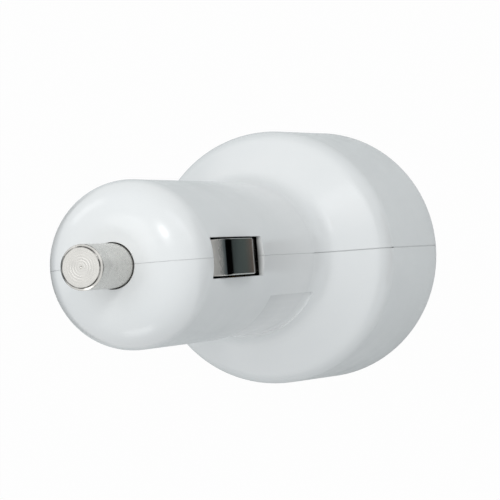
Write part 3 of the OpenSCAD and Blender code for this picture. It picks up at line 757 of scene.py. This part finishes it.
def grained_solid(name, colour, second, roughness, grain_mm, ior, bump_mm=0.004):
    """Plastic or ceramic: two close colours in fine patches, and a grain in its surface."""
    material, tree, shader = start_material(name, colour, roughness, ior=ior)
    place = add(tree, "ShaderNodeTexCoord").outputs["Object"]
    grain = add(tree, "ShaderNodeTexNoise", {"Vector": place, "Scale": per_mm(grain_mm), "Detail": 4.0})
    tint = add(tree, "ShaderNodeMix", {"Factor": grain.outputs["Fac"], "A": linear(colour),
                                       "B": linear(second)}, data_type="RGBA")
    gloss = add(tree, "ShaderNodeMapRange", {"Value": grain.outputs["Fac"], **NOISE_SPAN,
                                             "To Min": roughness * 0.85, "To Max": roughness * 1.2})
    edges = add(tree, "ShaderNodeBevel", {"Radius": SOLID_EDGE}, samples=BEVEL_RAYS)
    bump = add(tree, "ShaderNodeBump", {"Height": grain.outputs["Fac"], "Strength": 0.4,
                                        "Distance": bump_mm * MM, "Normal": edges.outputs["Normal"]})
    feed(shader, colour=tint.outputs["Result"], gloss=gloss.outputs["Result"],
         normal=bump.outputs["Normal"])
    return material


dress(grained_solid("nylon_moulded_white", "E6E5E0", "DDDCD6", 0.42, 0.5, 1.53), "usb_tongue")
dress(grained_solid("epoxy_moulded_black", "1B1B1D", "262628", 0.55, 0.12, 1.55), "controller_chip",
      "flyback_diode")
dress(grained_solid("ferrite_fired", "3C3D40", "2C2D30", 0.6, 0.15, 1.8, 0.008), "coil_core")

# %% Board material
WEAVE_PITCH = 0.5
TRACK_PITCH = 1.9
MASK_STEP = 0.02 * MM


def board_material():
    material, tree, shader = start_material("board_glass_epoxy", "1E6B3A", 0.35, ior=1.55)
    place = add(tree, "ShaderNodeTexCoord").outputs["Object"]
    weave = add(tree, "ShaderNodeTexChecker", {"Vector": place, "Scale": per_mm(WEAVE_PITCH),
                                               "Color1": linear("1C6236"), "Color2": linear("1F6E3C")})
    tracks = add(tree, "ShaderNodeTexWave", {"Vector": place, "Scale": per_mm(TRACK_PITCH) / (2 * math.pi),
                                             "Distortion": 1.5, "Detail": 0.0}, bands_direction="X")
    track_edge = add(tree, "ShaderNodeMapRange", {"Value": tracks.outputs["Fac"],
                                                  "From Min": 0.6, "From Max": 0.66})
    tint = add(tree, "ShaderNodeMix", {"Factor": track_edge.outputs["Result"], "A": weave.outputs["Color"],
                                       "B": linear("3A8A50")}, data_type="RGBA")
    bump = add(tree, "ShaderNodeBump", {"Height": track_edge.outputs["Result"], "Strength": 0.5,
                                        "Distance": MASK_STEP})
    feed(shader, colour=tint.outputs["Result"], normal=bump.outputs["Normal"])
    return material


dress(board_material(), "circuit_board")

# %% [markdown]
# ## Coil, capacitors and small parts
#
# The coil is copper wire in clear enamel: the enamel is a coat over the metal. An electrolytic capacitor
# is an aluminium can in a shrunk plastic sleeve, and its bare end shows the metal. A chip resistor, fuse or
# ceramic capacitor is a small ceramic body between two tinned caps. In each of these one solid carries two
# finishes, so the material picks between them by the place along the part.

# %% Enamelled wire
def enamelled_copper():
    material, tree, shader = start_material("copper_wire_enamelled", "C46A3C", 0.3, metallic=1.0)
    place = add(tree, "ShaderNodeTexCoord").outputs["Object"]
    shade = add(tree, "ShaderNodeTexNoise", {"Vector": place, "Scale": per_mm(0.8), "Detail": 2.0})
    tint = add(tree, "ShaderNodeMix", {"Factor": shade.outputs["Fac"], "A": linear("B85E33"),
                                       "B": linear("CF7A49")}, data_type="RGBA")
    feed(shader, colour=tint.outputs["Result"])
    shader.inputs["Coat Weight"].default_value = 0.8
    shader.inputs["Coat Roughness"].default_value = 0.12
    return material


dress(enamelled_copper(), "coil_winding")


# %% Two finishes on one part
SMALL_PART_EDGE = 0.05 * MM
END_CAP_SHARE = 0.18
BARE_END = 0.5 * MM


def two_finishes(name, body_colour, body_roughness, axis, centre, half_body, metal_colour, one_end=False):
    """Plastic or ceramic within half_body of the centre along one axis, and bright metal beyond it."""
    material, tree, shader = start_material(name, body_colour, body_roughness, ior=1.55)
    place = add(tree, "ShaderNodeTexCoord").outputs["Object"]
    along = add(tree, "ShaderNodeSeparateXYZ", {"Vector": place}).outputs[axis]
    offset = add(tree, "ShaderNodeMath", {0: along, 1: centre}, operation="SUBTRACT")
    distance = offset if one_end else add(tree, "ShaderNodeMath", {0: offset.outputs["Value"]},
                                          operation="ABSOLUTE")
    is_metal = add(tree, "ShaderNodeMath", {0: distance.outputs["Value"], 1: half_body},
                   operation="GREATER_THAN")
    grain = add(tree, "ShaderNodeTexNoise", {"Vector": place, "Scale": per_mm(0.4), "Detail": 3.0})
    tint = add(tree, "ShaderNodeMix", {"Factor": is_metal.outputs["Value"], "A": linear(body_colour),
                                       "B": linear(metal_colour)}, data_type="RGBA")
    gloss = add(tree, "ShaderNodeMapRange", {"Value": grain.outputs["Fac"], "To Min": body_roughness * 0.8,
                                             "To Max": body_roughness * 1.2})
    edges = add(tree, "ShaderNodeBevel", {"Radius": SMALL_PART_EDGE}, samples=BEVEL_RAYS)
    feed(shader, colour=tint.outputs["Result"], metal=is_metal.outputs["Value"],
         gloss=gloss.outputs["Result"], normal=edges.outputs["Normal"])
    return material


def dress_small_part(node, name, colour, roughness):
    """A ceramic part with a tinned cap on each end along X."""
    low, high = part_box(node)
    length = high.x - low.x
    half_body = length * (0.5 - END_CAP_SHARE)
    dress(two_finishes(name, colour, roughness, "X", (low.x + high.x) / 2, half_body, "CFD0CF"), node)


def dress_can(node, name, axis):
    """An aluminium can in a sleeve that ends just before its top."""
    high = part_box(node)[1][{"Y": 1, "Z": 2}[axis]]
    dress(two_finishes(name, "23304F", 0.35, axis, high, -BARE_END, "C9CBCC", one_end=True), node)


dress_small_part("input_fuse", "fuse_ceramic", "D8D2C2", 0.5)
dress_small_part("sense_resistor", "resistor_film_sense", "222224", 0.4)
dress_small_part("feedback_resistor_1", "resistor_film_1", "222224", 0.4)
dress_small_part("feedback_resistor_2", "resistor_film_2", "222224", 0.4)
dress_small_part("timing_capacitor", "capacitor_ceramic", "A58A6A", 0.5)
dress_can("input_capacitor", "can_sleeved_input", "Z")
dress_can("output_capacitor", "can_sleeved_output", "Y")

# %% [markdown]
# ## Floor and light
#
# The photograph has a plain white ground. The floor is a real diffuse surface, so it takes the plug's
# shadow and throws light back up at it. For rays from the camera, and for reflections, most of its white
# is added as a plain glow of strength one, so it reads as white without more light on the object. The
# world does the same: it looks white, but it lights the scene at a calm level.

# %% Floor
FLOOR_HALF = 1.5
FLOOR_DROP = 0.02 * MM
FLOOR_GLOW = 0.98


def is_seen(tree):
    """One for rays from the camera, in reflections and through glass, and zero for the rest."""
    path = add(tree, "ShaderNodeLightPath").outputs
    mirror_or_glass = add(tree, "ShaderNodeMath",
                          {0: path["Is Glossy Ray"], 1: path["Is Transmission Ray"]}, operation="MAXIMUM")
    return add(tree, "ShaderNodeMath", {0: path["Is Camera Ray"], 1: mirror_or_glass.outputs["Value"]},
               operation="MAXIMUM").outputs["Value"]


def floor_material():
    material, tree, shader = start_material("floor_pale", "A0A0A0", 0.9)
    shader.inputs["Specular IOR Level"].default_value = 0.0
    glow = add(tree, "ShaderNodeEmission", {"Color": (1.0, 1.0, 1.0, 1.0), "Strength": 1.0})
    share = add(tree, "ShaderNodeMath", {0: is_seen(tree), 1: FLOOR_GLOW}, operation="MULTIPLY")
    mix = add(tree, "ShaderNodeMixShader", {0: share.outputs["Value"], 1: shader.outputs["BSDF"],
                                            2: glow.outputs["Emission"]})
    tree.links.new(mix.outputs["Shader"], tree.nodes["Material Output"].inputs["Surface"])
    return material


def flat_sheet(name, half_x, half_y, place, material):
    """A flat rectangle that belongs to the studio."""
    mesh = bpy.data.meshes.new(name)
    corners = [(x * half_x, y * half_y, 0) for x, y in ((-1, -1), (1, -1), (1, 1), (-1, 1))]
    mesh.from_pydata(corners, [], [(0, 1, 2, 3)])
    mesh.materials.append(material)
    sheet = bpy.data.objects.new(name, mesh)
    sheet.location = place
    scene.collection.objects.link(sheet)
    return sheet


flat_sheet("floor", FLOOR_HALF, FLOOR_HALF, (0, 0, -FLOOR_DROP), floor_material())
print("floor", 2 * FLOOR_HALF, "m wide")

# %% World
WORLD_LEVEL = 0.77

world = bpy.data.worlds.new("studio")
scene.world = world
world.use_nodes = True
tree = world.node_tree
plain = tree.nodes["Background"]
plain.inputs["Color"].default_value = linear("F8FCFF")
plain.inputs["Strength"].default_value = WORLD_LEVEL
white = add(tree, "ShaderNodeBackground", {"Color": (1.0, 1.0, 1.0, 1.0), "Strength": 1.0})
mix = add(tree, "ShaderNodeMixShader", {0: is_seen(tree), 1: plain.outputs["Background"],
                                        2: white.outputs["Background"]})
tree.links.new(mix.outputs["Shader"], tree.nodes["World Output"].inputs["Surface"])
print("world at", WORLD_LEVEL)

# %% [markdown]
# A softbox hangs over the nose, towards +Y, as in the photograph, where the nose is the brightest part and
# the pin's soft shadow falls away below it. A smaller one at the side draws the shadow under the leaf.
# Three weak lamps stand low round the plug, so that no side of it goes dull. A narrow strip light near the
# ground, behind the head on the right, adds a gleam on the head's rounded shoulder. Each lamp's place is
# given as its height above the horizon and its angle round the plug, both in degrees, and its distance in
# metres.

# %% Lamps
AIM = Vector((0, 0, 45)) * MM
LAMPS = (
    # name, height, angle, distance, width, depth, watts
    ("softbox_nose", 68, 108, 0.6, 0.34, 0.34, 0.5),
    ("softbox_side", 46, 44, 0.6, 0.12, 0.12, 0.62),
    ("low_front", 10, 45, 0.6, 0.3, 0.15, 0.12),
    ("low_back", 10, 135, 0.6, 0.3, 0.15, 0.22),
    ("low_under", 12, 262, 0.6, 0.3, 0.15, 0.26),
    ("strip_light", 1.2, 32, 0.5, 0.27, 0.015, 0.08),
)


def area_light(name, place, width, depth, watts):
    """A rectangular lamp that faces the middle of the plug."""
    lamp = bpy.data.lights.new(name, "AREA")
    lamp.shape = "RECTANGLE"
    lamp.size = width
    lamp.size_y = depth
    lamp.energy = watts
    light = bpy.data.objects.new(name, lamp)
    light.location = place
    light.rotation_euler = (place - AIM).to_track_quat("Z", "Y").to_euler()
    scene.collection.objects.link(light)
    print(f"{name}: {watts} W, {width / MM:.0f} by {depth / MM:.0f} mm")


def direction(height, angle):
    """Unit vector at a height above the horizon and an angle round the plug, in degrees."""
    h, a = math.radians(height), math.radians(angle)
    return Vector((math.cos(h) * math.cos(a), math.cos(h) * math.sin(a), math.sin(h)))


for name, height, angle, distance, width, depth, watts in LAMPS:
    area_light(name, AIM + direction(height, angle) * distance, width, depth, watts)

# %% [markdown]
# Bright metal in a white room looks like white paper, so photographers give it something dark to reflect.
# Here a pale grey mat lies under the plug: painted shade of the floor round the plug, as reflections see
# it. Wide cards lie over its two ends and beyond: black ones nearer the plug, grey ones further out, a
# painted reflection of dark surroundings. Close to the head, a narrow strip of dark felt is held on each
# side at the height of its shoulder, its colours painted for the leaf's crown to reflect. Only reflections
# see them: they cast no shadow and don't darken the floor.

# %% Mat, felt and cards that only reflections see
FELT_START = 18.2 * MM
FELT_STOP = 52 * MM
FELT_HEIGHT = 20 * MM
FELT_HALF_WIDTH = 6 * MM
# Distance from the axis in mm, and the felt's colour there: a painted reflection for the leaf's crown
FELT_REFLECTION_COLOURS = ((18, "6B5F59"), (26, "565D5B"), (34, "4F5757"), (49, "030303"))
CARD_EDGES = (68 * MM, 160 * MM, 320 * MM)
CARD_HALF_DEPTH = 80 * MM
CARD_HEIGHT = 0.4 * MM
MAT_HALF = 75 * MM
MAT_HEIGHT = 0.1 * MM
MOTTLE_WIDTH = 14


def cloth(name, colour):
    """Dull cloth with a soft mottling about a centimetre wide. Returns the node of its shade too."""
    material, tree, shader = start_material(name, colour, 0.9)
    shader.inputs["Specular IOR Level"].default_value = 0.0
    place = add(tree, "ShaderNodeTexCoord").outputs["Object"]
    mottle = add(tree, "ShaderNodeTexNoise", {"Vector": place, "Scale": per_mm(MOTTLE_WIDTH),
                                              "Detail": 3.0})
    level = add(tree, "ShaderNodeMapRange", {"Value": mottle.outputs["Fac"],
                                             "To Min": 0.75, "To Max": 1.25})
    shade = add(tree, "ShaderNodeVectorMath", {0: linear(colour)[:3], "Scale": level.outputs["Result"]},
                operation="SCALE")
    feed(shader, colour=shade.outputs["Vector"])
    return material, tree, shade


def felt_painted_for_reflection():
    """Felt painted warm grey beside the plug, cooler further out and black at its ends, for the leaf's
    crown to reflect.
    """
    material, tree, shade = cloth("felt_painted_reflection", "59625F")
    place = add(tree, "ShaderNodeNewGeometry").outputs["Position"]
    across = add(tree, "ShaderNodeSeparateXYZ", {"Vector": place}).outputs["X"]
    distance = add(tree, "ShaderNodeMath", {0: across}, operation="ABSOLUTE")
    share = add(tree, "ShaderNodeMath", {0: distance.outputs["Value"], 1: FELT_STOP}, operation="DIVIDE")
    shades = add(tree, "ShaderNodeValToRGB", {"Fac": share.outputs["Value"]})
    stops = shades.color_ramp.elements
    for mm, colour in FELT_REFLECTION_COLOURS:
        stops.new(mm * MM / FELT_STOP).color = linear(colour)
    # The ramp came with a black and a white stop at its ends
    stops.remove(stops[-1])
    stops.remove(stops[0])
    tree.links.new(shades.outputs["Color"], shade.inputs[0])
    return material


def reflected_sheet(name, half_x, half_y, middle_x, lift, material):
    """A flat sheet that neither the camera nor the light meets, only reflections."""
    sheet = flat_sheet(name, half_x, half_y, (middle_x, 0, lift), material)
    sheet.visible_camera = False
    sheet.visible_diffuse = False
    sheet.visible_shadow = False
    sheet.visible_transmission = False
    print(f"{name}: {2 * half_x / MM:.0f} by {2 * half_y / MM:.0f} mm, seen only in reflections")


# Painted shade: the grey mat gives reflections a greyer floor round the plug
reflected_sheet("mat_pale", MAT_HALF, MAT_HALF, 0, MAT_HEIGHT, cloth("mat_painted_floor_shade", "C8CCCC")[0])
# Painted reflection: the felt's colours are what the leaf's crown shows
felt = felt_painted_for_reflection()
for hand, side in (("right", 1), ("left", -1)):
    reflected_sheet(f"felt_{hand}", (FELT_STOP - FELT_START) / 2, FELT_HALF_WIDTH,
                    side * (FELT_START + FELT_STOP) / 2, FELT_HEIGHT, felt)
# Painted reflection: dark cards for the dark surroundings
near, middle, far = CARD_EDGES
for kind, start, stop, colour in (("black", near, middle, "050505"), ("grey", middle, far, "5A6265")):
    card_material = cloth("card_" + kind, colour)[0]
    for hand, side in (("right", 1), ("left", -1)):
        reflected_sheet(f"card_{kind}_{hand}", (stop - start) / 2, CARD_HALF_DEPTH,
                        side * (start + stop) / 2, CARD_HEIGHT, card_material)

# %% [markdown]
# ## Finish
#
# The look keeps Blender's standard view transform, so a colour renders about as it is written.

# %% Finish
scene.view_settings.view_transform = "Standard"
